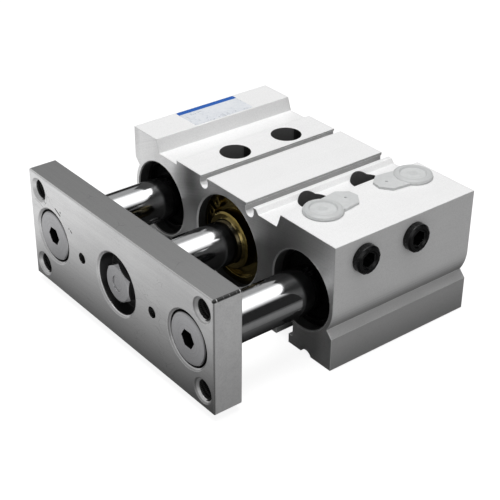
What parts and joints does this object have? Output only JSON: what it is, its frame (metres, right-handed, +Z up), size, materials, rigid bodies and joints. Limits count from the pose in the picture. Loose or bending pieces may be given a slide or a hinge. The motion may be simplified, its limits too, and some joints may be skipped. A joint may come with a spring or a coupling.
{
  "type": "guided pneumatic cylinder",
  "caption": "compact air cylinder between two guide rods in one grooved aluminium body, pushing a thick tool plate in a straight line without turning",
  "frame": {"origin": "centre of the four mounting screw holes, on the bottom face of the body", "axes": "+X across the body, from the guide rod on the left to the guide rod on the right as seen from the front plate; +Y back along the stroke, so the front plate faces -Y and moves out along -Y; +Z up, square to the mounting face"},
  "size_m": [0.1149, 0.1085, 0.0485],
  "materials": {
    "body_aluminium": "hard anodised extrusion, fine matt grain",
    "plate_steel": "nickel-plated ground steel",
    "rod_chrome": "hard chrome plated and ground",
    "bolt_steel": "nickel-plated",
    "cover_yellow": "yellow chromate",
    "ring_yellow": "yellow passivated spring steel",
    "ring_dark": "phosphated spring steel",
    "bearing_steel": "ground bearing steel",
    "piston_aluminium": "turned, clear chromate",
    "bush_bronze": "oil-filled sintered bush",
    "seal_rubber": "nitrile rubber",
    "bumper_rubber": "urethane rubber",
    "wear_plastic": "filled resin",
    "magnet_black": "plastic-bonded magnet",
    "cage_plastic": "moulded resin",
    "plug_black": "blackened steel with thread sealant",
    "cap_plastic": "soft translucent polyethylene",
    "label_film": "silvery film"
  },
  "bodies": {
    "housing": {"body": "body_aluminium", "rod_cover": "cover_yellow", "rod_cover_ring": "ring_yellow", "rod_cover_o_ring": "seal_rubber", "rod_seal": "seal_rubber", "rod_bush": "bush_bronze", "bumper_front": "bumper_rubber", "bumper_rear": "bumper_rubber", "head_cover": "piston_aluminium", "head_cover_o_ring": "seal_rubber", "head_cover_ring": "ring_dark", "side_plug_front": "plug_black", "side_plug_rear": "plug_black", "label": "label_film", "guide_ring_front_left": "ring_dark", "guide_ring_front_right": "ring_dark", "guide_ring_rear_left": "ring_dark", "guide_ring_rear_right": "ring_dark", "guide_wiper_left": "seal_rubber", "guide_wiper_right": "seal_rubber", "bearing_sleeve_left": "bearing_steel", "bearing_sleeve_right": "bearing_steel", "bearing_cage_left": "cage_plastic", "bearing_cage_right": "cage_plastic", "bearing_balls_left": "bearing_steel", "bearing_balls_right": "bearing_steel", "bearing_seals_left": "seal_rubber", "bearing_seals_right": "seal_rubber"},
    "carriage": {"front_plate": "plate_steel", "piston_rod": "rod_chrome", "rod_bolt": "bolt_steel", "guide_rod_left": "rod_chrome", "guide_rod_right": "rod_chrome", "guide_bolt_left": "bolt_steel", "guide_bolt_right": "bolt_steel", "piston": "piston_aluminium", "wear_ring": "wear_plastic", "piston_seal": "seal_rubber", "piston_magnet": "magnet_black", "piston_nut": "bolt_steel"},
    "cap_front": {"port_cap_front": "cap_plastic"},
    "cap_rear": {"port_cap_rear": "cap_plastic"}
  },
  "joints": [
    {"name": "plate_stroke", "type": "slide", "parent": "housing", "child": "carriage", "axis": [0, -1, 0], "range_m": [-0.025, 0]},
    {"name": "cap_front_pull", "type": "slide", "parent": "housing", "child": "cap_front", "axis": [0, 0, 1], "range_m": [0, 0.012]},
    {"name": "cap_rear_pull", "type": "slide", "parent": "housing", "child": "cap_rear", "axis": [0, 0, 1], "range_m": [0, 0.012]}
  ]
}
